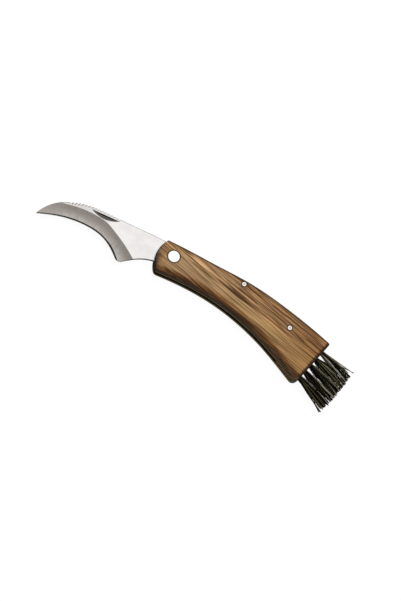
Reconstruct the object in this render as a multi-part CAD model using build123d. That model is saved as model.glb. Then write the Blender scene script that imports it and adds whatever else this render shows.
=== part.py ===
from build123d import *
from math import acos, atan2, cos, degrees, pi, radians, sin, sqrt
import os
import random

# A folding mushroom knife lying on its side with the blade open, in millimetres.
# The origin is on the blade's pivot axis, at the outer face of the lower rivet head.
# +X runs to the brush, +Y to the back of the handle, +Z up to the side with the nail nick.

# Handle outline
handle_width = 20.0
pivot_setback = 9.65
front_corner_round = 1.3
rear_back_round = 1.5
rear_belly_round = 4.8

# Outline points run from the front: along in shares of the length, across in shares of the width.
# The length itself follows below from the blade that the handle has to hold.
front_point_shares = (0.0, -0.045)
back_point_shares = [
    (0.016, 0.365),
    (0.1265, 0.4125),
    (0.302, 0.4575),
    (0.4956, 0.505),
    (0.645, 0.4575),
    (0.7856, 0.36),
    (0.9174, 0.237),
    (1.0, 0.138),
]
belly_point_shares = [
    (0.045, -0.605),
    (0.1705, -0.5175),
    (0.3023, -0.48),
    (0.4341, -0.52),
    (0.5659, -0.645),
    (0.6977, -0.85),
    (0.8295, -1.135),
    (0.942, -1.405),
]

# Layers of the handle, from outside to inside
scale_thickness = 4.5
liner_thickness = 1.1
washer_thickness = 0.18
blade_thickness = 2.4
side_play = 0.02
front_reveal = 0.45
belly_round_share = 0.9
edge_round_share = 0.3

# Blade outline, along in shares of its length, across in shares of its width at the heel
blade_length = 81.7
blade_width = 23.4
blade_edge_break = 0.4
spine_point_shares = [
    (0.1224, 0.3248),
    (0.306, 0.2628),
    (0.4529, 0.2179),
    (0.6169, 0.1667),
    (0.7209, 0.0919),
    (0.8115, -0.0385),
    (0.8886, -0.2009),
    (0.9498, -0.4231),
]
tip_share = 0.765
edge_point_shares = [
    (0.9412, -0.662),
    (0.8384, -0.511),
    (0.727, -0.409),
    (0.6169, -0.371),
    (0.5128, -0.41),
    (0.4485, -0.498),
    (0.397, -0.61),
    (0.353, -0.73),
]
heel_point_shares = [(0.3207, -0.752), (0.3011, -0.713)]
choil_point_shares = [(0.2644, -0.59), (0.2105, -0.437), (0.1469, -0.319)]

# Ground faces of the blade: each ruling runs from the grind line to the cutting edge
ruling_shares = [
    ((1.045, -0.43), (1.03, -0.83)),
    ((0.9364, -0.265), (0.955, -0.677)),
    ((0.8323, -0.1496), (0.8641, -0.5299)),
    ((0.7209, -0.0513), (0.7466, -0.406)),
    ((0.612, -0.0192), (0.6242, -0.3568)),
    ((0.5483, -0.0256), (0.5386, -0.3739)),
    ((0.4614, -0.1197), (0.4712, -0.4402)),
    ((0.3868, -0.235), (0.41, -0.5427)),
    ((0.3121, -0.3675), (0.3611, -0.6838)),
    ((0.2326, -0.5385), (0.2999, -0.8547)),
]
edge_thickness = 0.5
final_edge_thickness = 0.1
final_bevel_share = 0.11
ruling_overrun_share = 0.12

# Nail nick, cut by a wheel with one flat side
nick_length = 17.9
nick_width = 2.6
nick_depth = 0.75
nick_place_shares = (0.5606, 0.109)
nick_tilt = 6.7

# Scaling teeth along the back of the blade, their gaps filed wider towards both flats
tooth_count = 16
tooth_pitch = 2.0
tooth_depth = 0.55
tooth_start = 33.5
tooth_flare = 24.0

# Tang, seats of the back spring and the blade's travel. The open flat faces the back of the handle.
fold_angle = 158.0
open_flat_angle = 90.0
tang_seat = 4.6
tang_nose_radius = 5.7
shoulder_setback = 4.1
shoulder_height_share = 0.3226
shoulder_gap = 0.1
seat_clearance = 0.03

# Pivot rivet: a headed tube and a headed post that is pressed into it
barrel_radius = 2.3
post_radius = 1.2
head_radius = 3.62
head_thickness = 1.6
head_chamfer = 0.2
washer_radius = 4.3
blade_fit = 0.04
press_gap = 0.03

# Back spring, along in shares of the handle's length, across in shares of its width
spring_under_shares = [
    (0.2, 0.255),
    (0.2995, 0.262),
    (0.317, 0.32),
    (0.3445, 0.345),
    (0.372, 0.32),
    (0.395, 0.235),
    (0.6, 0.195),
    (0.69, -0.13),
    (0.9, -0.29),
]
spring_seat_share = 0.125

# Pins
pin_radius = 1.375
pin_chamfer = 0.12
spring_pin_shares = (0.4661, 0.37)
tail_pin_shares = (0.7782, -0.075)

# Brush block, and the slanted end of the blade's slot in front of it
block_length = 16.0
block_inlay = 0.8
tip_clearance = 0.9
slot_end_angle = 14.0

# Tufts
tuft_count = 5
tuft_end_margin = 5.6
tuft_hole_radius = 1.85
tuft_hole_depth = 9.0
tuft_wall_gap = 0.05
strands_per_tuft = 64
strand_sides = 3
strand_root_radius = 0.15
strand_tip_radius = 0.11
strand_length = 21.9
strand_length_spread = 1.5
tuft_root_share = 0.86
tuft_tip_gap = 0.6
tuft_spread_deep = 3.7
tuft_fan = 1.25
tuft_skew = 1.6
anchor_thickness = 0.45
anchor_height = 1.8
anchor_gap = 0.05

overrun = 5.0

# The handle is as long as the folded blade and the brush block behind it need
tip_radius = sqrt(blade_length**2 + (tip_share * blade_width) ** 2)
slot_reach = tip_radius + tip_clearance
slot_slant = radians(slot_end_angle)
tail_rise = back_point_shares[-1][1] * handle_width * sin(slot_slant)
handle_length = pivot_setback + (slot_reach + block_length + tail_rise) / cos(slot_slant)

# The tufts stand evenly along the tail
tail_back = (back_point_shares[-1][0] - belly_point_shares[-1][0]) * handle_length
tail_drop = (back_point_shares[-1][1] - belly_point_shares[-1][1]) * handle_width
tuft_pitch = (sqrt(tail_back**2 + tail_drop**2) - 2 * tuft_end_margin) / (tuft_count - 1)
tuft_spread_across = (tuft_pitch + tuft_fan - tuft_tip_gap) / 2

# Heights of the layers above the surface that the knife lies on
liner_low = scale_thickness
cavity_low = liner_low + liner_thickness
cavity_depth = blade_thickness + 2 * (washer_thickness + side_play)
cavity_high = cavity_low + cavity_depth
liner_high_top = cavity_high + liner_thickness
knife_depth = liner_high_top + scale_thickness
middle = knife_depth / 2
block_low = liner_low - block_inlay
block_depth = knife_depth - 2 * block_low
belly_round = belly_round_share * scale_thickness
edge_round = edge_round_share * scale_thickness


def on_handle(shares):
    """A place on the handle, from its shares of the length and the width."""
    along, across = shares
    return (along * handle_length - pivot_setback, across * handle_width)


def on_blade(shares):
    """A place on the open blade, from its shares of the length and the width."""
    along, across = shares
    return (-along * blade_length, across * blade_width)


def rod(radius, low, high, place=(0, 0)):
    """A round rod standing between two heights."""
    centre = (place[0], place[1], (low + high) / 2)
    return Pos(*centre) * Cylinder(radius, high - low)


def back_curve(reveal):
    """The back of the handle, from its front corner to the tail."""
    points = [on_handle(shares) for shares in back_point_shares]
    points[0] = (points[0][0] + reveal, points[0][1])
    return Spline(*points)


def belly_curve(reveal):
    """The belly of the handle, from its front corner to the tail."""
    points = [on_handle(shares) for shares in belly_point_shares]
    points[0] = (points[0][0] + reveal, points[0][1])
    return Spline(*points)


def handle_face(reveal):
    """The handle's flat outline, with its front edge set back by the reveal."""
    back = back_curve(reveal)
    belly = belly_curve(reveal)
    front_x, front_y = on_handle(front_point_shares)
    front = ThreePointArc(back @ 0, (front_x + reveal, front_y), belly @ 0)
    tail = Line(back @ 1, belly @ 1)
    return make_face([front, back, tail, belly])


def corner_near(solid, place, radius):
    """The solid with the upright corner that is nearest to a place rounded."""
    uprights = solid.edges().filter_by(Axis.Z)
    target = Vector(place[0], place[1], middle)
    corner = min(uprights, key=lambda edge: (edge.center() - target).length)
    return fillet(corner, radius)


def handle_slab(reveal, low, high):
    """A flat slab of the handle's outline between two heights, with its corners rounded."""
    slab = Pos(0, 0, low) * extrude(handle_face(reveal), high - low)
    for places, place, radius in (
        (back_point_shares, 0, front_corner_round),
        (belly_point_shares, 0, front_corner_round),
        (back_point_shares, -1, rear_back_round),
        (belly_point_shares, -1, rear_belly_round),
    ):
        slab = corner_near(slab, on_handle(places[place]), radius)
    return slab


def behind_slot(low, high):
    """All the space behind the slanted end of the blade's slot, between two heights."""
    span = handle_length
    block = Pos(slot_reach + span / 2, 0, (low + high) / 2) * Box(span, 2 * span, high - low)
    return Rot(0, 0, -slot_end_angle) * block


def pin_places():
    """The places of the two pins."""
    return [on_handle(spring_pin_shares), on_handle(tail_pin_shares)]


def drill(solid, radius, places):
    """The solid with upright holes right through the knife."""
    for place in places:
        solid -= rod(radius, -overrun, knife_depth + overrun, place)
    return solid


def rounded_blank():
    """The upper wooden side before drilling, its outer edges rounded, most along the belly."""
    sharp = Pos(0, 0, liner_high_top) * extrude(handle_face(front_reveal), scale_thickness)
    belly_place = belly_curve(front_reveal) @ (1 / 2) + Vector(0, 0, knife_depth)
    rim = sharp.faces().sort_by(Axis.Z)[-1].edges()
    belly = min(rim, key=lambda edge: (edge @ (1 / 2) - belly_place).length)
    rounded = fillet(belly, belly_round)
    rim = rounded.faces().sort_by(Axis.Z)[-1].edges()
    others = [edge for edge in rim if (edge @ (1 / 2) - belly_place).length > 2 * belly_round]
    rounded = fillet(others, edge_round)
    corners = sharp - handle_slab(front_reveal, liner_high_top, knife_depth)
    return rounded - corners


def near_scale():
    """The wooden side that faces up, with its rivet seat, pin holes and block recess."""
    scale = rounded_blank()
    scale -= rod(head_radius + press_gap, knife_depth - head_thickness, knife_depth + overrun)
    scale = drill(scale, barrel_radius + press_gap, [(0, 0)])
    scale = drill(scale, pin_radius + press_gap, pin_places())
    return scale - behind_slot(middle, block_low + block_depth)


def other_side(solid):
    """The mirror image of a piece in the knife's middle plane."""
    return mirror(solid, about=Plane.XY.offset(middle))


def near_liner():
    """The steel plate under the upper wooden side, ending at the brush block."""
    liner = handle_slab(0, cavity_high, liner_high_top)
    liner = drill(liner, barrel_radius + press_gap, [(0, 0)])
    liner = drill(liner, pin_radius + press_gap, pin_places())
    return liner - behind_slot(middle, knife_depth)


def back_spring():
    """The leaf between the liners along the back, seated on the tang and held by both pins."""
    front_x = shoulder_gap - shoulder_setback
    seat_y = tang_seat + seat_clearance
    seat_end = (on_handle((spring_seat_share, 0))[0], seat_y)
    under = Spline(seat_end, *[on_handle(shares) for shares in spring_under_shares])
    seat = Line((front_x, seat_y), seat_end)
    nose = Line((front_x, handle_width), (front_x, seat_y))
    rear = Line(under @ 1, ((under @ 1).X, handle_width))
    roof = Line(rear @ 1, nose @ 0)
    leaf = Pos(0, 0, cavity_low) * extrude(make_face([nose, seat, under, rear, roof]), cavity_depth)
    leaf = leaf & handle_slab(0, cavity_low, cavity_high)
    leaf = drill(leaf, pin_radius + press_gap, pin_places())
    return leaf - behind_slot(0, knife_depth)


def spine_curve():
    """The back of the blade, from its shoulder to the tip."""
    shoulder_top = (-shoulder_setback, shoulder_height_share * blade_width)
    tip = on_blade((1, -tip_share))
    return Spline(shoulder_top, *[on_blade(shares) for shares in spine_point_shares], tip)


def tang_corner(angle):
    """A place on the round of the tang, at an angle in degrees."""
    return (tang_nose_radius * cos(radians(angle)), tang_nose_radius * sin(radians(angle)))


def blade_face():
    """The flat outline of the open blade and its tang."""
    half_flat = degrees(acos(tang_seat / tang_nose_radius))
    open_start = open_flat_angle - half_flat
    closed_flat = open_flat_angle - fold_angle
    shoulder_foot = (-shoulder_setback, tang_seat)
    spine = spine_curve()
    edge = Spline(spine @ 1, *[on_blade(shares) for shares in edge_point_shares])
    heel_middle, heel_end = [on_blade(shares) for shares in heel_point_shares]
    heel = ThreePointArc(edge @ 1, heel_middle, heel_end)
    tang_foot = tang_corner(closed_flat - half_flat)
    choil = Spline(heel_end, *[on_blade(shares) for shares in choil_point_shares], tang_foot)
    flat_closed = Line(tang_foot, tang_corner(closed_flat + half_flat))
    open_corner = tang_corner(open_start)
    nose_middle = tang_corner((closed_flat + half_flat + open_start) / 2)
    nose = ThreePointArc(flat_closed @ 1, nose_middle, open_corner)
    flat_open = Line(open_corner, shoulder_foot)
    shoulder = Line(shoulder_foot, spine @ 0)
    return make_face([shoulder, spine, edge, heel, choil, flat_closed, nose, flat_open])


def ruled_cutter(first_share, first_thickness, last_thickness):
    """What a grind takes off one side, between two thicknesses of the blade along each ruling."""
    inner = []
    outer = []
    fall = (first_thickness - last_thickness) / 2
    for start_shares, end_shares in ruling_shares:
        start = Vector(*on_blade(start_shares))
        end = Vector(*on_blade(end_shares))
        start = start + (end - start) * first_share
        run = end - start
        inner_place = start - run * ruling_overrun_share
        outer_place = end + run * ruling_overrun_share
        rise = fall * ruling_overrun_share
        inner.append((inner_place.X, inner_place.Y, first_thickness / 2 + rise))
        outer.append((outer_place.X, outer_place.Y, last_thickness / 2 - rise))
    ground = Face.make_surface_from_curves(Edge.make_spline(inner), Edge.make_spline(outer))
    return extrude(ground, blade_thickness, dir=(0, 0, 1))


def nick_cutter():
    """The wheel that cuts the nail nick: flat towards the back, tapering towards the edge."""
    wheel_radius = nick_length**2 / (8 * nick_depth) + nick_depth / 2
    taper = nick_depth / nick_width
    depth = 2 * nick_width
    wheel = Cone(wheel_radius, wheel_radius - taper * depth, depth)
    wheel = Rot(90, 0, 0) * Pos(0, 0, depth / 2) * wheel
    lift = blade_thickness / 2 + wheel_radius - nick_depth
    place = on_blade(nick_place_shares)
    return Pos(place[0], place[1], lift) * Rot(0, 0, nick_tilt) * wheel


def tooth_gaps():
    """The notches between the scaling teeth, one after another along the back."""
    spine = spine_curve()
    notch = make_face(
        Polyline((-tooth_pitch, tooth_pitch), (tooth_pitch, tooth_pitch), (0, -tooth_depth), close=True)
    )
    notch = extrude(notch, blade_thickness, taper=-tooth_flare)
    notch += mirror(notch, about=Plane.XY)
    gaps = []
    for number in range(tooth_count):
        share = (tooth_start + number * tooth_pitch) / spine.length
        place = spine.position_at(share)
        along = spine.tangent_at(share)
        turn = degrees(atan2(-along.Y, -along.X))
        gaps.append(Pos(place.X, place.Y, 0) * Rot(0, 0, turn) * notch)
    return gaps


def back_edges(steel):
    """The two long edges of the flats along the back of the blade."""
    place = spine_curve() @ (1 / 2)
    sides = (-blade_thickness / 2, blade_thickness / 2)
    targets = [Vector(place.X, place.Y, height) for height in sides]
    return [min(steel.edges(), key=lambda edge: edge.distance_to(target)) for target in targets]


def blade():
    """The blade with its tang, grinds, nail nick, scaling teeth and pivot bore."""
    steel = Pos(0, 0, -blade_thickness / 2) * extrude(blade_face(), blade_thickness)
    steel = chamfer(back_edges(steel), blade_edge_break)
    for cutter in (
        ruled_cutter(0, blade_thickness, edge_thickness),
        ruled_cutter(
            1 - final_bevel_share,
            edge_thickness + final_bevel_share * (blade_thickness - edge_thickness),
            final_edge_thickness,
        ),
    ):
        steel = steel - cutter - mirror(cutter, about=Plane.XY)
    steel -= tooth_gaps()
    steel -= nick_cutter()
    steel -= Cylinder(barrel_radius + blade_fit, blade_thickness + overrun)
    return Pos(0, 0, middle) * steel


def washer(low):
    """A thin ring between the tang and a liner."""
    ring = rod(washer_radius, low, low + washer_thickness)
    return ring - rod(barrel_radius + press_gap, low - overrun, low + overrun)


def pivot_head(low, outer):
    """A flat rivet head, its outer rim broken by a small chamfer."""
    head = rod(head_radius, low, low + head_thickness)
    rim = min(head.edges().filter_by(GeomType.CIRCLE), key=lambda edge: abs(edge.center().Z - outer))
    return chamfer(rim, head_chamfer)


def pivot_barrel():
    """The lower rivet head with the tube that the blade turns on."""
    tube = rod(barrel_radius, 0, knife_depth - head_thickness - press_gap)
    bore = rod(post_radius + press_gap, head_thickness, knife_depth)
    return pivot_head(0, 0) + tube - bore


def pivot_post():
    """The upper rivet head with the post that is pressed into the tube."""
    low = knife_depth - head_thickness
    post = rod(post_radius, head_thickness + press_gap, knife_depth - head_thickness)
    return pivot_head(low, knife_depth) + post


def pin(place):
    """A pin through the whole handle, flush with both wooden sides."""
    body = rod(pin_radius, 0, knife_depth, place)
    return chamfer(body.edges().filter_by(GeomType.CIRCLE), pin_chamfer)


def tail_frame(number):
    """The plane at the mouth of a tuft's hole: outwards is its Z, towards the back its X."""
    top = Vector(*on_handle(back_point_shares[-1]))
    bottom = Vector(*on_handle(belly_point_shares[-1]))
    down = (bottom - top).normalized()
    mouth = top + down * (tuft_end_margin + number * tuft_pitch)
    outwards = Vector(-down.Y, down.X, 0)
    return Plane(Vector(mouth.X, mouth.Y, middle), x_dir=-down, z_dir=outwards)


def brush_block():
    """The block between the wooden sides at the tail, with a blind hole for each tuft."""
    block = handle_slab(0, block_low, block_low + block_depth)
    block = block & behind_slot(block_low - overrun, knife_depth)
    hole = Pos(0, 0, (overrun - tuft_hole_depth) / 2) * Cylinder(tuft_hole_radius, tuft_hole_depth + overrun)
    for number in range(tuft_count):
        block -= tail_frame(number).location * hole
    return block


def anchor():
    """The flat wire that a tuft is folded over, at the bottom of its hole."""
    reach = tuft_hole_radius - tuft_wall_gap
    length = 2 * sqrt(reach**2 - anchor_thickness**2)
    return Pos(0, 0, anchor_height / 2 - tuft_hole_depth) * Box(anchor_thickness, length, anchor_height)


def tuft_root():
    """The packed root of a tuft in its hole, folded over the anchor."""
    root = Pos(0, 0, -tuft_hole_depth / 2) * Cylinder(tuft_hole_radius - tuft_wall_gap, tuft_hole_depth)
    slot = Box(anchor_thickness + 2 * anchor_gap, 2 * tuft_hole_radius, 2 * (anchor_height + anchor_gap))
    return root - Pos(0, 0, -tuft_hole_depth) * slot


def strand_ring(centre, radius, turn):
    """The outline of a strand at one end."""
    corners = []
    for corner in range(strand_sides):
        angle = turn + corner * 2 * pi / strand_sides
        corners.append((centre[0] + radius * cos(angle), centre[1] + radius * sin(angle), centre[2]))
    return Wire.make_polygon(corners)


def strands(number):
    """The strands of one tuft: the tufts fan out, and all of them lean a little to the belly."""
    chance = random.Random(number)
    golden = pi * (3 - sqrt(5))
    root_reach = tuft_root_share * tuft_hole_radius
    lean = (tuft_count - 1 - 2 * number) / 2 * tuft_fan - tuft_skew
    bundle = []
    for index in range(strands_per_tuft):
        ring = sqrt((index + 1 / 2) / strands_per_tuft)
        across = ring * cos(index * golden)
        deep = ring * sin(index * golden)
        length = strand_length - strand_length_spread * chance.random()
        turn = chance.random() * pi
        root = (across * root_reach, deep * root_reach, 0)
        tip = (lean + across * tuft_spread_across, deep * tuft_spread_deep, length)
        ends = [strand_ring(root, strand_root_radius, turn), strand_ring(tip, strand_tip_radius, turn)]
        bundle.append(Solid.make_loft(ends, ruled=True))
    return bundle


def tuft(number):
    """One tuft: its strands and its root, as a single piece."""
    bundle = tuft_root().fuse(*strands(number), glue=True)
    return bundle.moved(tail_frame(number).location)


def write(name, shape):
    """Write one piece to its own file."""
    export_step(shape, f"parts/{name}.step")


os.makedirs("parts", exist_ok=True)
upper_scale = near_scale()
write("near_scale", upper_scale)
write("far_scale", other_side(upper_scale))
upper_liner = near_liner()
write("near_liner", upper_liner)
write("far_liner", other_side(upper_liner))
write("back_spring", back_spring())
write("blade", blade())
write("near_washer", washer(cavity_high - washer_thickness))
write("far_washer", washer(cavity_low))
write("pivot_barrel", pivot_barrel())
write("pivot_post", pivot_post())
spring_pin_place, tail_pin_place = pin_places()
write("spring_pin", pin(spring_pin_place))
write("tail_pin", pin(tail_pin_place))
write("brush_block", brush_block())
write("tuft_anchors", Compound([tail_frame(number).location * anchor() for number in range(tuft_count)]))
for number in range(tuft_count):
    write(f"tuft_{number + 1}", tuft(number))
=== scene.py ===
import math
import random

import bpy
import numpy as np
from mathutils import Matrix, Vector


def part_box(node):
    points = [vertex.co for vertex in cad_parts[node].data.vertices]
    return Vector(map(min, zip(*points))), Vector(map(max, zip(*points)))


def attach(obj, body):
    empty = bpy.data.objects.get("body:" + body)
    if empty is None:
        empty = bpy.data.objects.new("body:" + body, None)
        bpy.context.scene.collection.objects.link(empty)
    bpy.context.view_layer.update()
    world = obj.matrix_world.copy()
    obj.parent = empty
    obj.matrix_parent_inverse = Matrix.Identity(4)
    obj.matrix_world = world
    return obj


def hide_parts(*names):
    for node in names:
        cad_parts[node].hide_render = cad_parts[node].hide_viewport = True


# The looks of a folding mushroom knife that lies on its side with the blade open.
# +X runs to the brush, +Y to the back of the handle, +Z up. Lengths are in metres.
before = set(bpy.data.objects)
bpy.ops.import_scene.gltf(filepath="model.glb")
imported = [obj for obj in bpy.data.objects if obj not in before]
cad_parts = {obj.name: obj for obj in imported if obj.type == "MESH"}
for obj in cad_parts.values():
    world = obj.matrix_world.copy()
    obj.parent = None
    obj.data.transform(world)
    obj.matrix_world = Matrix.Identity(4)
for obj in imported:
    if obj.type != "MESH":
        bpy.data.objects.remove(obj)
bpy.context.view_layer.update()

MM = 0.001
tiny = MM / 100
white = (1.0, 1.0, 1.0, 1.0)

# The handle along x, the blade's tip and the middle of the knife's thickness, as the frame has them
handle_front, handle_tail = [corner.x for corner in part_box("near_scale")]
handle_length = handle_tail - handle_front
blade_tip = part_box("blade")[0].x
middle_height = (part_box("near_scale")[1].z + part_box("far_scale")[0].z) / 2

# The view: a long lens, looking down on the knife from the belly side, turned in the picture
lens_mm = 300.0
sensor_mm = 36.0
view_azimuth = -8.894
view_elevation = 69.604
view_roll = 38.95
view_distance = 2.905735
view_centre = (26.389 * MM, -12.542 * MM, 7.0 * MM)
view_depth = 50.0

# The light: one soft lamp, a weak fill from all round, and a floor that comes out white
key_power = 5.2
key_size = 0.55
key_place = (0.02, 0.10, 0.75)
key_aim = (0.02, -0.01, 0.0)
fill_strength = 0.20
floor_size = 24.0
floor_gap = 0.2 * MM
floor_paleness = 0.08
floor_glow = 0.945

# The handle's outline is read off the frame between these shares of the handle's length
outline_stations = 60
belly_shares = (0.064, 0.894)
belly_degree = 4
back_shares = (0.081, 0.947)
back_degree = 5

# The brush: its strands stand in locks, and the locks fan out from the holes in the tail
tuft_count = 5
locks_per_tuft = 26
strands_per_lock = 6
strand_radius = 0.18 * MM
strand_radius_shares = (0.85, 1.15)
strand_taper = 0.3
strand_sides = 5
strand_segments = 10
strand_sunk = 2.5 * MM
strand_smoothing = math.radians(40)
trim_height = 22.1 * MM
root_reach = 1.36 * MM
lock_spread = 2.15 * MM
lock_reach = 0.42 * MM
lock_gathering = 0.2
lean_of_first = 0.03
lean_step = 0.040
drift_power = 1.2
sweep_power = 2.2
first_seed = 40

# How far chance moves a lock, and one strand in it, from their places and tones
lock_drift = 0.75 * MM
lock_rise = 0.50 * MM
lock_bend = 0.65 * MM
lock_roll = 0.30 * MM
lock_trim = 1.15 * MM
strand_bend = 0.16 * MM
strand_trim = 0.35 * MM
strand_tone = 0.18

# What is different from tuft to tuft, the first being the one at the back of the handle
crowding = (0.10 * MM, 0.30 * MM, -0.55 * MM, -0.80 * MM, -2.80 * MM)
sweeps = (1.15 * MM, 0.0, 0.50 * MM, 0.0, 0.95 * MM)
extra_reach = (-0.3 * MM, 0.4 * MM, 0.8 * MM, 0.9 * MM, 0.2 * MM)
fan_powers = (1.05, 0.72, 0.95, 0.72, 0.80)
tuft_tones = (0.12, -0.20, -0.04, -0.02, 0.03)

# Locks that stand apart: their tuft from 0, their start across and deep as shares of the hole's reach,
# how far they drift, how many strands they have, and their tone
stray_locks = [
    (0, -0.95, 0.3, -3.6 * MM, 3, 0.55),
    (0, -0.90, -0.2, -2.6 * MM, 2, 0.98),
    (0, -0.85, 0.6, -1.8 * MM, 2, 1.0),
    (4, 0.98, 0.1, 1.0 * MM, 6, 0.22),
    (4, 0.96, 0.5, 0.9 * MM, 5, 0.12),
    (4, 0.80, -0.5, -0.1 * MM, 6, 0.92),
    (4, 0.90, -0.2, -0.4 * MM, 4, 0.75),
]


# The handle's outline and the tail, as the frame has them


def outline_terms(side, shares, degree):
    """The belly or the back of the handle as a polynomial of x in mm, its terms from the constant up."""
    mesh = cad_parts["near_scale"].data
    corners = np.array([tuple(vertex.co) for vertex in mesh.vertices]) / MM
    starts, ends = corners[np.array([tuple(edge.vertices) for edge in mesh.edges])].transpose(1, 0, 2)
    stations = (handle_front + handle_length * np.linspace(*shares, outline_stations)) / MM
    heights = []
    for station in stations:
        crossed = (starts[:, 0] - station) * (ends[:, 0] - station) < 0
        low, high = starts[crossed], ends[crossed]
        share = (station - low[:, 0]) / (high[:, 0] - low[:, 0])
        heights.append(side(low[:, 1] + share * (high[:, 1] - low[:, 1])))
    terms = np.polynomial.polynomial.polyfit(stations, heights, degree)
    return [float(term) for term in terms]


def tail_plane():
    """The tail's flat end: its corner at the back, and the way out of it."""
    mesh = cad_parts["brush_block"].data
    facing = max(mesh.polygons, key=lambda face: face.normal.x * face.area)
    top = None
    for corner in mesh.vertices:
        off_plane = (corner.co - facing.center).dot(facing.normal)
        if abs(off_plane) < tiny and (top is None or corner.co.y > top.y):
            top = corner.co
    return Vector((top.x, top.y, 0.0)), Vector((facing.normal.x, facing.normal.y, 0.0)).normalized()


def tuft_mouth(number):
    """The middle of the mouth of a tuft's hole, straight out from the bottom of its root."""
    corners = [corner.co - tail_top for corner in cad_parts[f"tuft_{number + 1}"].data.vertices]
    deepest = min(corner.dot(tail_out) for corner in corners)
    bottom = [corner.dot(tail_down) for corner in corners if corner.dot(tail_out) < deepest + tiny]
    mouth = tail_top + tail_down * (min(bottom) + max(bottom)) / 2
    return Vector((mouth.x, mouth.y, middle_height))


belly_terms = outline_terms(np.min, belly_shares, belly_degree)
back_terms = outline_terms(np.max, back_shares, back_degree)
tail_top, tail_out = tail_plane()
tail_down = Vector((tail_out.y, -tail_out.x, 0.0))
mouths = [tuft_mouth(number) for number in range(tuft_count)]


# Building blocks for shaders


def srgb(red, green, blue):
    """A colour of 0 to 255 as the linear value that a shader takes, by the sRGB curve."""
    shares = [value / 255 for value in (red, green, blue)]
    linear = [s / 12.92 if s <= 0.04045 else ((s + 0.055) / 1.055) ** 2.4 for s in shares]
    return (*linear, 1.0)


def feed(tree, socket, value):
    """Link a socket to another one, or set its own value."""
    if isinstance(value, bpy.types.NodeSocket):
        tree.links.new(value, socket)
    else:
        socket.default_value = value


def node(tree, kind, inputs=None, **settings):
    """A new node with its settings and its inputs, which are sockets or values."""
    made = tree.nodes.new(kind)
    for name, value in settings.items():
        setattr(made, name, value)
    for name, value in (inputs or {}).items():
        feed(tree, made.inputs[name], value)
    return made


def calc(tree, operation, *numbers):
    """The result of a sum on one, two or three numbers."""
    return node(tree, "ShaderNodeMath", dict(enumerate(numbers)), operation=operation).outputs[0]


def vector_sum(tree, operation, first, second):
    """The result of a sum on two vectors: a vector, or the number that some sums give."""
    made = node(tree, "ShaderNodeVectorMath", {0: first, 1: second}, operation=operation)
    return made.outputs["Value" if operation in ("DISTANCE", "DOT_PRODUCT") else "Vector"]


def between(tree, value, span, result=(0.0, 1.0)):
    """A value carried smoothly from one span to another, and held at its ends."""
    inputs = {"Value": value, "From Min": span[0], "From Max": span[1]}
    inputs.update({"To Min": result[0], "To Max": result[1]})
    return node(tree, "ShaderNodeMapRange", inputs, interpolation_type="SMOOTHSTEP").outputs["Result"]


def mixed(tree, share, first, second, how="MIX"):
    """Two colours mixed by a share."""
    made = node(tree, "ShaderNodeMix", data_type="RGBA", blend_type=how)
    feed(tree, made.inputs[0], share)
    feed(tree, made.inputs[6], first)
    feed(tree, made.inputs[7], second)
    return made.outputs[2]


def shaded(tree, colour, shade):
    """A colour multiplied by a shade, which is a number around 1."""
    return mixed(tree, 1.0, colour, shade, "MULTIPLY")


def tinted(tree, colour, value, tint, mask=None):
    """A colour taken towards a tint: the span of a value, the share reached at its end, the new colour."""
    span, full_share, new_colour = tint
    share = between(tree, value, span, (0.0, full_share))
    if mask is not None:
        share = calc(tree, "MULTIPLY", share, mask)
    return mixed(tree, share, colour, new_colour)


def noise(tree, place, scale=1.0, detail=2.0, roughness=0.5):
    """Smooth noise from 0 to 1."""
    inputs = {"Vector": place, "Scale": scale, "Detail": detail, "Roughness": roughness}
    return node(tree, "ShaderNodeTexNoise", inputs).outputs["Fac"]


def curve(tree, value, terms):
    """A polynomial of a value, its terms from the constant up."""
    total = terms[-1]
    for term in reversed(terms[:-1]):
        total = calc(tree, "MULTIPLY_ADD", total, value, term)
    return total


def joined(tree, x, y, z):
    """A vector from three numbers."""
    return node(tree, "ShaderNodeCombineXYZ", {"X": x, "Y": y, "Z": z}).outputs[0]


def parts_of(tree, vector):
    """The three numbers of a vector."""
    return node(tree, "ShaderNodeSeparateXYZ", {"Vector": vector}).outputs


def ramp(tree, value, stops):
    """A colour looked up along a row of stops, each a place from 0 to 1 and a colour."""
    made = node(tree, "ShaderNodeValToRGB", {"Fac": value})
    elements = made.color_ramp.elements
    elements[0].position, elements[0].color = stops[0]
    elements[1].position, elements[1].color = stops[-1]
    for position, colour in stops[1:-1]:
        elements.new(position).color = colour
    return made.outputs["Color"]


def group(name, vectors, numbers, results):
    """An empty node group with named sockets, and its input and output nodes."""
    tree = bpy.data.node_groups.new(name, "ShaderNodeTree")
    for socket in vectors:
        tree.interface.new_socket(name=socket, in_out="INPUT", socket_type="NodeSocketVector")
    for socket in numbers:
        tree.interface.new_socket(name=socket, in_out="INPUT", socket_type="NodeSocketFloat")
    for socket in results:
        tree.interface.new_socket(name=socket, in_out="OUTPUT", socket_type="NodeSocketFloat")
    return tree, tree.nodes.new("NodeGroupInput").outputs, tree.nodes.new("NodeGroupOutput")


def give(tree, placed, **inputs):
    """Set or link the inputs of a node by their names; an underscore stands for a space."""
    for name, value in inputs.items():
        feed(tree, placed.inputs[name.replace("_", " ")], value)


def use(tree, made_group, **inputs):
    """A group placed in a material with its own values."""
    placed = node(tree, "ShaderNodeGroup", node_tree=made_group)
    give(tree, placed, **inputs)
    return placed.outputs


def material(name, **constants):
    """A new material, its tree and its surface shader, which gets the values that never vary."""
    made = bpy.data.materials.new(name)
    made.use_nodes = True
    shader = made.node_tree.nodes["Principled BSDF"]
    give(made.node_tree, shader, **constants)
    return made, made.node_tree, shader


def place_on(tree):
    """The place on the piece in millimetres."""
    scaled = {0: node(tree, "ShaderNodeTexCoord").outputs["Object"], "Scale": 1 / MM}
    return node(tree, "ShaderNodeVectorMath", scaled, operation="SCALE").outputs[0]


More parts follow.
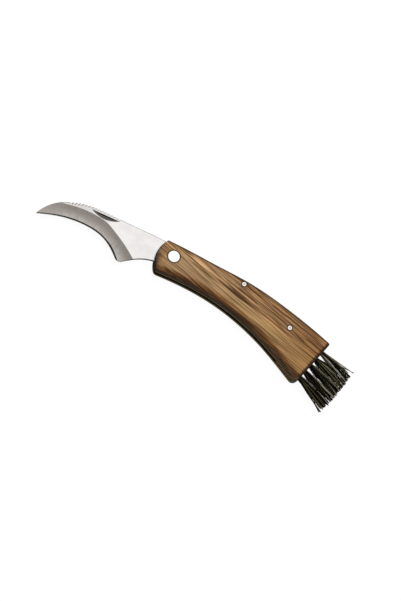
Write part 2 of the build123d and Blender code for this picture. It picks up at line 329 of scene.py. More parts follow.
def normal_on(tree):
    """The way that the piece's surface faces."""
    return node(tree, "ShaderNodeTexCoord").outputs["Normal"]


def bump(tree, shader, height, depth_mm):
    """Small relief on a surface, from a height of 0 to 1 times a depth."""
    made = node(tree, "ShaderNodeBump", {"Height": height, "Distance": depth_mm * MM})
    give(tree, shader, Normal=made.outputs["Normal"])


def upright(name):
    """Where a rivet or pin stands on the handle's sides and its radius, in millimetres."""
    low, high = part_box(name)
    centre = (low + high) / 2 / MM
    return (centre.x, centre.y, 0.0), (high.x - low.x) / 2 / MM


def above_middle(tree, z):
    """How far in mm a place lies above the middle of the knife's thickness."""
    return calc(tree, "SUBTRACT", z, middle_height / MM)


# Effects that several materials share, in millimetres

noise_middle = 0.5
grain_bend = (0.00077, 0.05)
grain_slope = 0.185
grain_depth_shift = 0.25
sway_scale = (0.035, 0.09, 0.08)
streak_scale = (0.030, 1.0, 0.3)
fine_scale = (0.035, 2.2, 1.0)
dash_scale = (0.05, 1.45, 1.0)
fine_span = (0.36, 0.64)
dash_span = (0.52, 0.61)
cloud_scale = 0.12


def make_grain():
    """Straight grain under a bent handle: a height across the bend, streaks, fine lines and dark dashes."""
    results = ["Across", "Streaks", "Fine", "Dashes"]
    tree, given, result = group("wood_grain", ["Place"], ["Streak Width", "Waviness"], results)
    x, y, z = parts_of(tree, given["Place"])
    sway = noise(tree, vector_sum(tree, "MULTIPLY", given["Place"], sway_scale))
    wander = calc(tree, "MULTIPLY", calc(tree, "SUBTRACT", sway, noise_middle), given["Waviness"])
    wander = calc(tree, "MULTIPLY_ADD", z, grain_depth_shift, wander)
    bend = calc(tree, "MULTIPLY_ADD", x, *grain_bend)
    bent = calc(tree, "ADD", calc(tree, "MULTIPLY_ADD", x, bend, y), wander)
    straight = calc(tree, "ADD", calc(tree, "MULTIPLY_ADD", x, grain_slope, y), wander)
    along = joined(tree, x, calc(tree, "DIVIDE", straight, given["Streak Width"]), z)
    streaks = noise(tree, vector_sum(tree, "MULTIPLY", along, streak_scale), detail=3.0, roughness=0.55)
    fine = noise(tree, vector_sum(tree, "MULTIPLY", along, fine_scale), detail=1.0)
    dashes = noise(tree, vector_sum(tree, "MULTIPLY", along, dash_scale), detail=1.0)
    give(tree, result, Across=bent, Streaks=streaks)
    give(tree, result, Fine=between(tree, fine, fine_span), Dashes=between(tree, dashes, dash_span))
    return tree


def make_lines():
    """Fine parallel lines along x, left by a wheel or a belt, and slow clouds."""
    results = ["Lines", "Clouds"]
    tree, given, result = group("tool_lines", ["Place"], ["Line Length", "Line Width"], results)
    x, y, z = parts_of(tree, given["Place"])
    along = calc(tree, "DIVIDE", x, given["Line Length"])
    across = calc(tree, "DIVIDE", y, given["Line Width"])
    lines = noise(tree, joined(tree, along, across, z), detail=3.0, roughness=0.6)
    clouds = noise(tree, given["Place"], cloud_scale, detail=3.0, roughness=0.55)
    give(tree, result, Lines=lines, Clouds=clouds)
    return tree


def make_facing():
    """How far a surface is tipped away from the knife's flat sides, from 0 to 1 between two slopes."""
    tree, given, result = group("facing", ["Normal"], ["Slope Start", "Slope End"], ["Tipped"])
    flatness = calc(tree, "ABSOLUTE", parts_of(tree, given["Normal"])[2])
    tipped = between(tree, flatness, (given["Slope Start"], given["Slope End"]))
    give(tree, result, Tipped=tipped)
    return tree


def make_outline():
    """A place's share of the handle's length, and how far in mm it lies inside the belly, back and tail."""
    results = ["Along", "Above Belly", "Below Back", "Before Tail"]
    tree, given, result = group("handle_outline", ["Place"], [], results)
    x, y = parts_of(tree, given["Place"])[:2]
    along = calc(tree, "MULTIPLY_ADD", x, MM / handle_length, -handle_front / handle_length)
    above = calc(tree, "SUBTRACT", y, curve(tree, x, belly_terms))
    below = calc(tree, "SUBTRACT", curve(tree, x, back_terms), y)
    inward = vector_sum(tree, "SUBTRACT", tail_top / MM, given["Place"])
    before = vector_sum(tree, "DOT_PRODUCT", inward, tail_out)
    give(tree, result, Along=along, Above_Belly=above, Below_Back=below, Before_Tail=before)
    return tree


def make_ring():
    """A soft ring round something upright that goes through a surface, from its rim outwards."""
    tree, given, result = group("seat_ring", ["Place", "Centre"], ["Radius", "Width"], ["Ring"])
    flat = vector_sum(tree, "MULTIPLY", given["Place"], (1.0, 1.0, 0.0))
    distance = vector_sum(tree, "DISTANCE", flat, given["Centre"])
    beyond = calc(tree, "DIVIDE", calc(tree, "SUBTRACT", distance, given["Radius"]), given["Width"])
    give(tree, result, Ring=between(tree, beyond, (1.0, 0.0)))
    return tree


grain_group = make_grain()
lines_group = make_lines()
facing_group = make_facing()
outline_group = make_outline()
ring_group = make_ring()

# In the materials, a span is where an effect starts and where it is full, in millimetres or in what a noise
# gives. A tint is a span, the share that it reaches there and its colour, and shades multiply a colour. Most
# of what a noise gives lies in the noise span, and a mask runs over the whole span.
noise_span = (0.3, 0.7)
whole = (0.0, 1.0)


# The wooden sides: their two woods change tone along the handle. Places along it are shares of its length.

wood_streak = 1.15
wood_waviness = 1.3
golden_tones = [
    (0.023, srgb(148, 115, 78)),
    (0.140, srgb(157, 127, 94)),
    (0.518, srgb(172, 138, 95)),
    (0.877, srgb(147, 111, 70)),
]
brown_tones = [
    (0.023, srgb(158, 123, 86)),
    (0.140, srgb(158, 126, 92)),
    (0.479, srgb(152, 118, 83)),
    (0.916, srgb(123, 89, 57)),
]
golden_edge = (2.5, 1.5)
golden_climb_shares = (0.594, 0.894)
golden_climb = 2.3
brown_edge = ((4.0, 2.2), 0.5, srgb(118, 85, 52))
belt_scales = (0.012, 0.36)
belt_place = 2.6
belt_span = (0.36, 0.62)
belt_shades = (0.97, 1.29)

# The grain: strengths, depths and dash shares are for the brown side, then for the golden one
streak_span = (0.32, 0.68)
streak_shades = (0.72, 1.28)
streak_strengths = (1.0, 0.42)
line_middle = 0.475
line_shade = 0.985
line_depths = (1.55, 1.15)
dash_shares = (0.80, 0.12)
dash_brown = srgb(84, 52, 27)
patch_scales = (0.018, 0.5)
patch_place = 7.0
warm_patches = ((0.54, 0.70), 0.20, srgb(152, 106, 74))
olive_patches = ((0.46, 0.32), 0.26, srgb(140, 122, 80))

# The painted shade on the belly's rounded edge: how ragged and how high it is, and where along the handle it
# climbs
# The belly's rounded edge is darkened in colour as painted shade
belly_shade_raggedness = 7.0
belly_shade_height = 6.0
belly_shade_climbs = [((0.081, 0.205), (-0.2, 0.6)), ((0.647, 0.841), (-0.1, 0.9))]
belly_shade_edge = (4.7, 2.3)
belly_shade_tones = [
    (0.0, srgb(76, 56, 36)),
    (0.20, srgb(72, 47, 25)),
    (0.36, srgb(103, 68, 38)),
    (0.65, srgb(127, 91, 58)),
]
belly_shade_lines = (1.30, 0.45)
belly_shade_streak_span = (0.35, 0.65)
belly_shade_streak_shades = (0.78, 1.26)

# The rims, darkened as painted shade: by the distance in from the back and from the tail, and at the front
# by share and height. Then painted shade on the walls that face the belly, darker on the far side, and
# painted shadow rings round the rivet and the pins.
rim_jitter = 0.7
rim_fade = (1.0, 0.4)
# Painted shade: the rounded back, tail and front of the wood are darkened in colour
back_shade = ((3.0, 1.4), 0.56, srgb(106, 76, 48))
back_rim_shade = ((1.7, 1.1), 0.76, srgb(58, 41, 27))
tail_shade = ((2.9, 1.0), 0.66, srgb(78, 51, 29))
tail_rim_shade = ((2.5, 1.0), 0.92, srgb(42, 25, 12))
front_rim_shade = ((0.046, 0.002), 0.85, srgb(56, 40, 25))
front_rim_height = (1.0, -4.0)
belly_facing = (0.0, -0.4)
belly_wall_shares = (0.647, 0.823)
belly_wall_shade_tones = (srgb(36, 29, 20), srgb(68, 47, 29))
far_wall_shade = ((-1.0, -3.0), 1.0, srgb(16, 13, 9))
# A painted shadow ring on the wood round each head
head_shadow_width = 0.9
head_shadow_share = 0.95
head_shadow_brown = srgb(30, 22, 13)
wood_roughness = (0.60, 0.46)
dash_relief = 0.5


def slow_noise(tree, x, across, scales, place):
    """Slow noise drawn out along the handle, from a place of its own."""
    drawn_out = calc(tree, "MULTIPLY", x, scales[0])
    return noise(tree, joined(tree, drawn_out, calc(tree, "MULTIPLY", across, scales[1]), place))


def two_woods(tree, grain, x, along):
    """Golden wood below a line that climbs towards the tail, brown wood above it, and which is where."""
    climb = between(tree, along, golden_climb_shares, (0.0, golden_climb))
    level = calc(tree, "SUBTRACT", grain["Across"], climb)
    belts = slow_noise(tree, x, level, belt_scales, belt_place)
    brown = shaded(tree, ramp(tree, along, brown_tones), between(tree, belts, belt_span, belt_shades))
    brown = tinted(tree, brown, level, brown_edge)
    golden_side = between(tree, level, golden_edge)
    return mixed(tree, golden_side, brown, ramp(tree, along, golden_tones)), golden_side


def grained(tree, grain, x, colour, golden_side):
    """Streaks and fine lines, calmer on the golden side, then warm and olive patches and dark dashes."""
    streak = calc(tree, "SUBTRACT", between(tree, grain["Streaks"], streak_span, streak_shades), 1.0)
    strength = between(tree, golden_side, whole, streak_strengths)
    streaked = calc(tree, "MULTIPLY_ADD", streak, strength, 1.0)
    depth = between(tree, golden_side, whole, line_depths)
    line = calc(tree, "SUBTRACT", grain["Fine"], line_middle)
    lined = calc(tree, "MULTIPLY_ADD", line, depth, line_shade)
    colour = shaded(tree, colour, calc(tree, "MULTIPLY", streaked, lined))
    patches = slow_noise(tree, x, grain["Across"], patch_scales, patch_place)
    colour = tinted(tree, colour, patches, warm_patches)
    colour = tinted(tree, colour, patches, olive_patches)
    dashes = calc(tree, "MULTIPLY", grain["Dashes"], between(tree, golden_side, whole, dash_shares))
    return mixed(tree, dashes, colour, dash_brown)


def painted_belly_shade(tree, grain, outline, colour):
    """Wood darkened as painted shade on the belly's rounding: near black at the belly's edge, warm brown
    where it fades into the side.
    """
    ragged = calc(tree, "SUBTRACT", grain["Streaks"], noise_middle)
    above = calc(tree, "MULTIPLY_ADD", ragged, belly_shade_raggedness, outline["Above Belly"])
    for shares, climb in belly_shade_climbs:
        above = calc(tree, "SUBTRACT", above, between(tree, outline["Along"], shares, climb))
    belly_shade = ramp(tree, calc(tree, "DIVIDE", above, belly_shade_height), belly_shade_tones)
    belly_shade = shaded(tree, belly_shade, calc(tree, "MULTIPLY_ADD", grain["Fine"], *belly_shade_lines))
    belly_shade = shaded(tree, belly_shade, between(tree, grain["Streaks"], belly_shade_streak_span, belly_shade_streak_shades))
    return mixed(tree, between(tree, above, belly_shade_edge), colour, belly_shade)


def painted_rim_shade(tree, grain, outline, place, colour):
    """Wood darkened as painted shade along the back, the tail and the front, and on the walls that face the
    belly.
    """
    y, z = parts_of(tree, place)[1:]
    normal = normal_on(tree)
    walls = use(tree, facing_group, Normal=normal, Slope_Start=0.50, Slope_End=0.15)["Tipped"]
    off_walls = between(tree, walls, rim_fade)
    jitter = calc(tree, "MULTIPLY", calc(tree, "SUBTRACT", grain["Fine"], noise_middle), rim_jitter)
    to_back = calc(tree, "ADD", outline["Below Back"], jitter)
    to_tail = calc(tree, "ADD", outline["Before Tail"], jitter)
    # Painted shade along the rounded back and tail, with a narrower darker rim, then at the front
    colour = tinted(tree, colour, to_back, back_shade)
    colour = tinted(tree, colour, to_back, back_rim_shade, off_walls)
    colour = tinted(tree, colour, to_tail, tail_shade)
    colour = tinted(tree, colour, to_tail, tail_rim_shade, off_walls)
    colour = tinted(tree, colour, outline["Along"], front_rim_shade, between(tree, y, front_rim_height))
    # Painted shade on the walls that face the belly, near black on the far side
    belly_wall_shade = mixed(tree, between(tree, outline["Along"], belly_wall_shares), *belly_wall_shade_tones)
    belly_wall_shade = tinted(tree, belly_wall_shade, above_middle(tree, z), far_wall_shade)
    to_belly = between(tree, parts_of(tree, normal)[1], belly_facing)
    return mixed(tree, calc(tree, "MULTIPLY", walls, to_belly), colour, belly_wall_shade)


def handle_wood(name, shift):
    """Oiled brown wood: a calm golden side, a lined brown side, and painted shade on its rounded edges."""
    made, tree, shader = material(name, Specular_IOR_Level=0.10)
    place = place_on(tree)
    moved = vector_sum(tree, "ADD", place, shift)
    grain = use(tree, grain_group, Place=moved, Streak_Width=wood_streak, Waviness=wood_waviness)
    outline = use(tree, outline_group, Place=place)
    x = parts_of(tree, place)[0]
    colour, golden_side = two_woods(tree, grain, x, outline["Along"])
    colour = grained(tree, grain, x, colour, golden_side)
    # Painted shade on the belly's rounded edge
    colour = painted_belly_shade(tree, grain, outline, colour)
    # Painted shade on the rims and on the walls that face the belly
    colour = painted_rim_shade(tree, grain, outline, place, colour)
    # Painted shadow rings on the wood round the heads of the rivet and the pins
    for metal in ("pivot_post", "spring_pin", "tail_pin"):
        centre, radius = upright(metal)
        head_shadow = use(tree, ring_group, Place=place, Centre=centre, Radius=radius, Width=head_shadow_width)
        share = calc(tree, "MULTIPLY", head_shadow["Ring"], head_shadow_share)
        colour = mixed(tree, share, colour, head_shadow_brown)
    give(tree, shader, Base_Color=colour)
    give(tree, shader, Roughness=between(tree, grain["Streaks"], noise_span, wood_roughness))
    dashes = calc(tree, "MULTIPLY", grain["Dashes"], dash_relief)
    bump(tree, shader, calc(tree, "SUBTRACT", grain["Streaks"], dashes), depth_mm=0.04)
    return made


# The brush block, with the half height at which its joints with the wooden sides lie, along which a
# highlight is painted

block_tones = [
    (0.34, srgb(52, 37, 16)),
    (0.50, srgb(92, 70, 35)),
    (0.66, srgb(138, 110, 62)),
]
block_dash_share = 0.5
block_dash = srgb(60, 47, 28)
# A painted highlight: a paler line along the block's edges at its joints
block_joint_highlight = ((1.5, 2.1), 0.8, srgb(166, 136, 88))


def block_wood():
    """Grey-brown wood of the brush block, close grained, with a paler line along its joints, a painted
    highlight.
    """
    made, tree, shader = material("block_wood", Roughness=0.65, Specular_IOR_Level=0.06)
    place = place_on(tree)
    grain = use(tree, grain_group, Place=place, Streak_Width=0.8, Waviness=0.8)
    colour = ramp(tree, grain["Streaks"], block_tones)
    colour = mixed(tree, calc(tree, "MULTIPLY", grain["Dashes"], block_dash_share), colour, block_dash)
    half_height = calc(tree, "ABSOLUTE", above_middle(tree, parts_of(tree, place)[2]))
    # Painted highlight along the joints with the wooden sides
    colour = tinted(tree, colour, half_height, block_joint_highlight)
    give(tree, shader, Base_Color=colour)
    bump(tree, shader, grain["Streaks"], depth_mm=0.04)
    return made


# The blade: its flats, then its ground faces, whose strokes turn about the middle of the hook's curve in mm.
# The tints at the tip start at shares of the way from the pivot to it.

flat_tones = (srgb(236, 232, 230), srgb(248, 246, 244))
flat_clouds = ((0.40, 0.62), 0.5, srgb(226, 223, 223))
flat_at_tip = ((0.416, 0.710), 0.6, srgb(206, 201, 197))
hook_centre = (-53.0, -51.3)
strokes_per_radian = 110.0
stroke_depth = 1.2
grind_span = (1.22, 0.22)
grind_tones = [
    (0.0, srgb(138, 131, 125)),
    (0.25, srgb(144, 137, 131)),
    (0.6, srgb(163, 156, 150)),
    (1.0, srgb(188, 183, 178)),
]
grind_clouds = ((0.4, 0.7), 0.35, srgb(146, 133, 130))
grind_shades = (0.86, 1.14)
grind_at_tip = srgb(164, 157, 149)
tip_span = (0.759, 0.955)
tip_share = 0.5

# The nail nick, the cutting edge and the sides, by half thickness and by how far they face the back. Their
# dark tones are painted: shade in the nick and on the sides that face the belly, and a dark reflection along
# the edge.
nick_span = (0.45, 0.60)
nick_wall_facing = (0.05, -0.15)
# Painted shade in the nail nick, near black on the walls that face the belly
nick_shade_tones = (srgb(98, 93, 86), srgb(8, 7, 6))
edge_span = (0.250, 0.215)
# A painted dark reflection along the cutting edge, paler towards the tip
edge_reflection_tones = (srgb(14, 13, 11), srgb(126, 123, 117))
spine_facing = (0.2, 0.6)
# The sides that face the belly are painted near black as shade; the spine is grey
shaded_side_and_spine_tones = (srgb(22, 21, 19), srgb(120, 116, 111))
blade_roughness = (0.24, 0.42)


def wheel_strokes(tree, x, y, half):
    """The strokes that the grinding wheel left across the hook."""
    ahead = calc(tree, "SUBTRACT", x, hook_centre[0])
    aside = calc(tree, "SUBTRACT", y, hook_centre[1])
    round_hook = calc(tree, "MULTIPLY", calc(tree, "ARCTAN2", aside, ahead), strokes_per_radian)
    strokes = joined(tree, round_hook, calc(tree, "MULTIPLY", half, stroke_depth), 0.0)
    return noise(tree, strokes, detail=3.0, roughness=0.65)


def ground_face(tree, half, tip, clouds, wheel):
    """Ground steel that pales towards the cutting edge and evens out towards the tip."""
    colour = ramp(tree, between(tree, half, grind_span), grind_tones)
    colour = tinted(tree, colour, clouds, grind_clouds)
    colour = shaded(tree, colour, between(tree, wheel, noise_span, grind_shades))
    return mixed(tree, tip, colour, grind_at_tip)


def blade_steel():
    """Blade steel: bright flats, ground faces that pale towards the edge, and thin sides painted dark as
    shade.
    """
    made, tree, shader = material("blade_steel", Specular_IOR_Level=0.05)
    place = place_on(tree)
    normal = normal_on(tree)
    ground = use(tree, facing_group, Normal=normal, Slope_Start=0.9990, Slope_End=0.9970)["Tipped"]
    hollow = use(tree, facing_group, Normal=normal, Slope_Start=0.972, Slope_End=0.962)["Tipped"]
    sides = use(tree, facing_group, Normal=normal, Slope_Start=0.86, Slope_End=0.70)["Tipped"]
    x, y, z = parts_of(tree, place)
    half = calc(tree, "ABSOLUTE", above_middle(tree, z))
    to_tip = calc(tree, "MULTIPLY", x, MM / blade_tip)
    tip = between(tree, to_tip, tip_span, (0.0, tip_share))
    rolled = use(tree, lines_group, Place=place, Line_Length=7.0, Line_Width=0.12)
    wheel = wheel_strokes(tree, x, y, half)
    flats = mixed(tree, rolled["Lines"], *flat_tones)
    flats = tinted(tree, flats, rolled["Clouds"], flat_clouds)
    flats = tinted(tree, flats, to_tip, flat_at_tip)
    colour = mixed(tree, ground, flats, ground_face(tree, half, tip, rolled["Clouds"], wheel))
    in_nick = calc(tree, "MULTIPLY", hollow, between(tree, half, nick_span))
    to_back = parts_of(tree, normal)[1]
    # Painted shade in the nail nick, near black on the walls that face the belly
    nick = mixed(tree, between(tree, to_back, nick_wall_facing), *nick_shade_tones)
    colour = mixed(tree, in_nick, colour, nick)
    # Painted dark reflection along the cutting edge, paler towards the tip
    colour = mixed(tree, between(tree, half, edge_span), colour, mixed(tree, tip, *edge_reflection_tones))
    spine = between(tree, to_back, spine_facing)
    # Painted shade: the sides that face the belly are near black and not metallic, the spine is grey
    colour = mixed(tree, sides, colour, mixed(tree, spine, *shaded_side_and_spine_tones))
    shaded_low_sides = calc(tree, "MULTIPLY", sides, calc(tree, "SUBTRACT", 1.0, spine))
    give(tree, shader, Base_Color=colour, Metallic=calc(tree, "SUBTRACT", 1.0, shaded_low_sides))
    give(tree, shader, Roughness=between(tree, ground, whole, blade_roughness))
    bump(tree, shader, mixed(tree, ground, rolled["Lines"], wheel), depth_mm=0.004)
    return made


# The other metals, each pair of tones from the darker to the brighter

plate_glance = srgb(158, 146, 126)
# Painted shade: the liners' faces are near black for the shade in the blade's slot
liner_faces_in_shade = (srgb(19, 17, 13), srgb(35, 32, 26))
liner_edges = (srgb(79, 72, 55), srgb(118, 109, 88))
spring_faces = (srgb(82, 80, 75), srgb(112, 110, 104))
spring_edges = (srgb(104, 100, 93), srgb(158, 154, 146))
wire_tones = (srgb(150, 140, 110), srgb(190, 180, 150))
plate_roughness = (0.34, 0.50)
rivet_tones = (srgb(250, 249, 248), srgb(255, 254, 253))
rivet_scratches = ((0.66, 0.85), 0.3, srgb(226, 221, 216))
# Painted shade on the heads' rounded rims
rivet_rim_shade = srgb(70, 62, 54)
rivet_roughness = (0.18, 0.30)
dimple_radius = 0.6
dimple_width = 0.45
dimple_share = 0.9
dimple_grey = srgb(202, 195, 188)
bronze_tones = (srgb(132, 96, 52), srgb(188, 148, 90))
bronze_roughness = (0.25, 0.45)


def plate_steel(name, faces, cut_edges, line_length, line_width):
    """Rolled plate with long fine lines and slow clouds, and another pair of tones on its cut edges."""
    made, tree, shader = material(name, Metallic=1.0, Specular_Tint=plate_glance)
    rolled = use(tree, lines_group, Place=place_on(tree), Line_Length=line_length, Line_Width=line_width)
    cut = use(tree, facing_group, Normal=normal_on(tree), Slope_Start=0.8, Slope_End=0.5)["Tipped"]
    clouded = mixed(tree, rolled["Clouds"], *cut_edges)
    give(tree, shader, Base_Color=mixed(tree, cut, mixed(tree, rolled["Lines"], *faces), clouded))
    give(tree, shader, Roughness=between(tree, rolled["Clouds"], noise_span, plate_roughness))
    bump(tree, shader, rolled["Lines"], depth_mm=0.006)
    return made


def rivet_steel(name, dimpled):
    """Polished heads with faint turned lines and a rounded rim painted dark as shade, some of them with a
    dull centre.
    """
    made, tree, shader = material(name, Metallic=1.0)
    place = place_on(tree)
    turned = use(tree, lines_group, Place=place, Line_Length=0.5, Line_Width=0.5)
    colour = mixed(tree, turned["Clouds"], *rivet_tones)
    colour = tinted(tree, colour, turned["Lines"], rivet_scratches)
    for pin in dimpled:
        centre = upright(pin)[0]
        dull = use(tree, ring_group, Place=place, Centre=centre, Radius=dimple_radius, Width=dimple_width)
        colour = mixed(tree, calc(tree, "MULTIPLY", dull["Ring"], dimple_share), colour, dimple_grey)
    # Painted shade on the heads' rounded rims
    rim = use(tree, facing_group, Normal=normal_on(tree), Slope_Start=0.9, Slope_End=0.75)["Tipped"]
    give(tree, shader, Base_Color=mixed(tree, rim, colour, rivet_rim_shade))
    give(tree, shader, Roughness=between(tree, turned["Clouds"], noise_span, rivet_roughness))
    bump(tree, shader, turned["Lines"], depth_mm=0.003)
    return made


def washer_bronze():
    """Thin bronze sheet, rubbed bright in places."""
    made, tree, shader = material("washer_bronze", Metallic=1.0)
    rubbed = use(tree, lines_group, Place=place_on(tree), Line_Length=0.4, Line_Width=0.4)
    give(tree, shader, Base_Color=mixed(tree, rubbed["Clouds"], *bronze_tones))
    give(tree, shader, Roughness=between(tree, rubbed["Lines"], noise_span, bronze_roughness))
    bump(tree, shader, rubbed["Lines"], depth_mm=0.004)
    return made


# The bristles: tones by lock, whose near-black end is partly dark bristle and partly painted shade between
# the strands, a mottling, and a painted shade at their roots

fibre_and_shade_tones = [
    (0.0, srgb(3, 3, 1)),
    (0.48, srgb(12, 10, 5)),
    (0.64, srgb(62, 56, 37)),
    (0.86, srgb(122, 115, 88)),
    (1.0, srgb(164, 162, 146)),
]
mottling_scale = 0.9
mottling = ((0.45, 0.7), 0.5, srgb(14, 12, 7))
root_shade = ((0.25, 0.0), 0.5, srgb(8, 7, 5))


def bristle_fibre():
    """Stiff dark bristle, each lock of its own tone from near black to a dry pale olive; the near-black
    locks are partly painted shade between the strands.
    """
    made, tree, shader = material("bristle_fibre", Roughness=0.6, Specular_IOR_Level=0.05)
    tone = node(tree, "ShaderNodeAttribute", attribute_name="tone").outputs["Fac"]
    height = node(tree, "ShaderNodeAttribute", attribute_name="height").outputs["Fac"]
    mottled = noise(tree, place_on(tree), mottling_scale, detail=3.0)
    # The near-black locks are partly painted shade between the strands
    colour = tinted(tree, ramp(tree, tone, fibre_and_shade_tones), mottled, mottling)
    # Painted shade at the roots of the strands
    give(tree, shader, Base_Color=tinted(tree, colour, height, root_shade))
    bump(tree, shader, mottled, depth_mm=0.03)
    return made


# The brush


def strand_pattern():
    """One straight strand, one unit in height and in radius, with rings along it where it can bend."""
    bpy.ops.object.select_all(action="DESELECT")
    bpy.ops.mesh.primitive_cylinder_add(vertices=strand_sides, radius=1.0, depth=1.0, location=(0, 0, 0.5))
    strand = bpy.context.object
    bpy.ops.object.transform_apply(location=True, rotation=False, scale=False)
    bpy.ops.object.mode_set(mode="EDIT")
    for cut in range(1, strand_segments):
        bpy.ops.mesh.select_all(action="SELECT")
        bpy.ops.mesh.bisect(plane_co=(0, 0, cut / strand_segments), plane_no=(0, 0, 1))
    bpy.ops.object.mode_set(mode="OBJECT")
    return strand


def make_lock(chance, number, across, deep, drift, tone):
    """A lock of strands: where it starts in its hole, how it bends and leans, and its tone."""
    return {
        "number": number,
        "across": across,
        "deep": deep,
        "drift": drift + chance.gauss(0, lock_drift),
        "rise": chance.gauss(0, lock_rise),
        "bend": chance.gauss(0, lock_bend),
        "roll": chance.gauss(0, lock_roll),
        "height": trim_height + extra_reach[number] - abs(chance.gauss(0, lock_trim)),
        "tone": tone + tuft_tones[number],
    }


def strand_path(chance, lock):
    """The middle line of one strand of a lock, from inside its hole to its trimmed tip."""
    number = lock["number"]
    angle = chance.uniform(0, 2 * math.pi)
    reach = lock_reach * math.sqrt(chance.random())
    bend = lock["bend"] + chance.gauss(0, strand_bend)
    height = lock["height"] - abs(chance.gauss(0, strand_trim))
    lean = lean_of_first + lean_step * number
    points = []
    for step in range(strand_segments + 1):
        out = step / strand_segments * (height + strand_sunk) - strand_sunk
        free = max(0.0, out) / height
        fan = free ** fan_powers[number]
        swing = math.sin(math.pi * free)
        start = root_reach + lock_spread * fan
        own = reach * (1 - lock_gathering * free)
        across = lock["across"] * start + own * math.cos(angle) + bend * swing
        across += lean * max(0.0, out) + crowding[number] * fan
        across += lock["drift"] * free ** drift_power + sweeps[number] * free ** sweep_power
        deep = lock["deep"] * start + own * math.sin(angle) + lock["rise"] * free + lock["roll"] * swing
        points.append(mouths[number] + tail_out * out + tail_down * across + Vector((0, 0, deep)))
    return points


def tuft_locks(chance, number):
    """The locks of one tuft, spread evenly over its hole, and those that stray from it."""
    golden_angle = math.pi * (3 - math.sqrt(5))
    locks = []
    for index in range(locks_per_tuft):
        reach = math.sqrt((index + 0.5) / locks_per_tuft)
        angle = index * golden_angle + number
        tone = chance.random()
        locks.append(make_lock(chance, number, reach * math.cos(angle), reach * math.sin(angle), 0.0, tone))
    counts = [strands_per_lock] * locks_per_tuft
    for tuft, across, deep, drift, strands, tone in stray_locks:
        if tuft == number:
            locks.append(make_lock(chance, number, across, deep, drift, tone))
            counts.append(strands)
    return zip(locks, counts)


def bend_strand(mesh, path, radius):
    """Lay a straight unit strand along a path, with its thickness and a slight taper."""
    for vertex in mesh.vertices:
        step = round(vertex.co.z * strand_segments)
        before = path[max(0, step - 1)]
        after = path[min(strand_segments, step + 1)]
        along = (after - before).normalized()
        side = along.cross(Vector((0, 0, 1))).normalized()
        up = along.cross(side)
        taper = 1 - strand_taper * step / strand_segments
        vertex.co = path[step] + (side * vertex.co.x + up * vertex.co.y) * radius * taper


def lock_strand(chance, pattern, lock):
    """One strand of a lock as its own mesh, with its tone and its height above the tail."""
    strand = pattern.copy()
    strand.data = pattern.data.copy()
    bpy.context.collection.objects.link(strand)
    path = strand_path(chance, lock)
    bend_strand(strand.data, path, strand_radius * chance.uniform(*strand_radius_shares))
    tone = min(1.0, max(0.0, lock["tone"] + chance.gauss(0, strand_tone)))
    tone_layer = strand.data.attributes.new("tone", "FLOAT", "POINT")
    height_layer = strand.data.attributes.new("height", "FLOAT", "POINT")
    base = mouths[lock["number"]]
    for corner, vertex in enumerate(strand.data.vertices):
        tone_layer.data[corner].value = tone
        height_layer.data[corner].value = (vertex.co - base).dot(tail_out) / trim_height
    return strand


def bristle_tuft(number, pattern, fibre):
    """One tuft of curved strands, joined into one piece."""
    chance = random.Random(first_seed + number)
    copies = []
    for lock, count in tuft_locks(chance, number):
        copies += [lock_strand(chance, pattern, lock) for strand in range(count)]
    bpy.ops.object.select_all(action="DESELECT")
    for strand in copies:
        strand.select_set(True)
    tuft = copies[0]
    bpy.context.view_layer.objects.active = tuft
    bpy.ops.object.join()
    tuft.name = f"bristles_{number + 1}"
    tuft.data.name = tuft.name
    tuft.data.materials.clear()
    tuft.data.materials.append(fibre)
    bpy.ops.object.shade_smooth_by_angle(angle=strand_smoothing)
    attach(tuft, "handle")
    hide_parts(f"tuft_{number + 1}")


# The stage


def make_camera():
    """The camera, by its azimuth, elevation and roll about the view's centre."""
    azimuth, elevation = math.radians(view_azimuth), math.radians(view_elevation)
    back = Vector((
        math.sin(azimuth) * math.cos(elevation),
        -math.cos(azimuth) * math.cos(elevation),
        math.sin(elevation),
    ))
    data = bpy.data.cameras.new("camera")
    data.lens = lens_mm
    data.sensor_width = sensor_mm
    data.clip_end = view_depth
    camera = bpy.data.objects.new("camera", data)
    bpy.context.scene.collection.objects.link(camera)
    turn = (-back).to_track_quat("-Z", "Y").to_matrix() @ Matrix.Rotation(math.radians(view_roll), 3, "Z")
    camera.location = Vector(view_centre) + back * view_distance
    camera.rotation_euler = turn.to_euler()
    bpy.context.scene.camera = camera


def seen_white(tree):
    """A share of 1 where the background is seen directly, in a reflection or through glass."""
    rays = tree.nodes.new("ShaderNodeLightPath").outputs
    seen = calc(tree, "MAXIMUM", rays["Is Camera Ray"], rays["Is Glossy Ray"])
    return calc(tree, "MAXIMUM", seen, rays["Is Transmission Ray"])


def make_floor():
    """A pale floor that looks white and keeps a soft shadow."""
    bpy.ops.object.select_all(action="DESELECT")
    bpy.ops.mesh.primitive_plane_add(size=floor_size, location=(0, 0, -floor_gap))
    floor = bpy.context.object
    floor.name = "floor"
    made, tree, shader = material("floor_paper", Roughness=1.0, Specular_IOR_Level=0.0)
    give(tree, shader, Base_Color=(floor_paleness, floor_paleness, floor_paleness, 1.0))
    give(tree, shader, Emission_Color=white)
    give(tree, shader, Emission_Strength=calc(tree, "MULTIPLY", seen_white(tree), floor_glow))
    floor.data.materials.append(made)


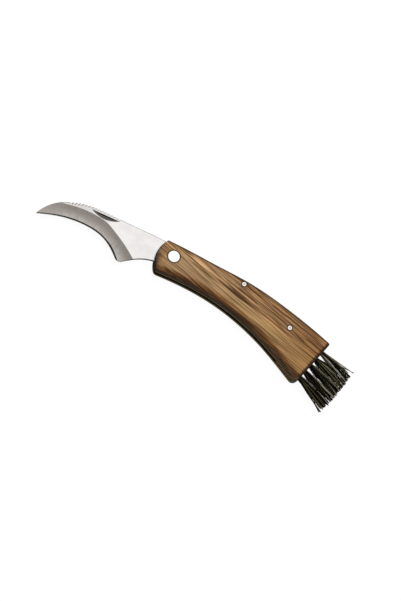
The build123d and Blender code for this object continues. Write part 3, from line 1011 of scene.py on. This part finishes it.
def make_light():
    """One large soft lamp overhead and an even, weak fill from all round."""
    data = bpy.data.lights.new("key", "AREA")
    data.shape = "SQUARE"
    data.size = key_size
    data.energy = key_power
    lamp = bpy.data.objects.new("key", data)
    bpy.context.scene.collection.objects.link(lamp)
    lamp.location = key_place
    aim = Vector(key_aim) - Vector(key_place)
    lamp.rotation_euler = aim.to_track_quat("-Z", "Y").to_euler()
    lamp.visible_glossy = False
    world = bpy.data.worlds.new("studio")
    bpy.context.scene.world = world
    world.use_nodes = True
    tree = world.node_tree
    strength = between(tree, seen_white(tree), whole, (fill_strength, 1.0))
    give(tree, tree.nodes["Background"], Color=white, Strength=strength)


def dress(name, made):
    """Give a carried-over piece its material."""
    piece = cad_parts[name]
    piece.data.materials.clear()
    piece.data.materials.append(made)


make_camera()
make_floor()
make_light()
bpy.context.scene.view_settings.view_transform = "Standard"

# Each wooden side is cut from the grain at another place, in millimetres
near_cut = (0.0, 0.0, -14.0)
far_cut = (37.0, 5.0, 11.0)
dress("near_scale", handle_wood("near_wood", near_cut))
dress("far_scale", handle_wood("far_wood", far_cut))
dress("brush_block", block_wood())
dress("blade", blade_steel())
liner = plate_steel("liner_steel", liner_faces_in_shade, liner_edges, line_length=9.0, line_width=0.15)
for name in ("near_liner", "far_liner"):
    dress(name, liner)
spring = plate_steel("spring_steel", spring_faces, spring_edges, line_length=6.0, line_width=0.2)
dress("back_spring", spring)
rivet = rivet_steel("rivet_steel", [])
for name in ("pivot_barrel", "pivot_post"):
    dress(name, rivet)
pins = rivet_steel("pin_steel", ["spring_pin", "tail_pin"])
for name in ("spring_pin", "tail_pin"):
    dress(name, pins)
bronze = washer_bronze()
for name in ("near_washer", "far_washer"):
    dress(name, bronze)
wire = plate_steel("anchor_wire", wire_tones, wire_tones, line_length=0.5, line_width=0.1)
dress("tuft_anchors", wire)

pattern = strand_pattern()
fibre = bristle_fibre()
for number in range(tuft_count):
    bristle_tuft(number, pattern, fibre)
bpy.data.objects.remove(pattern)
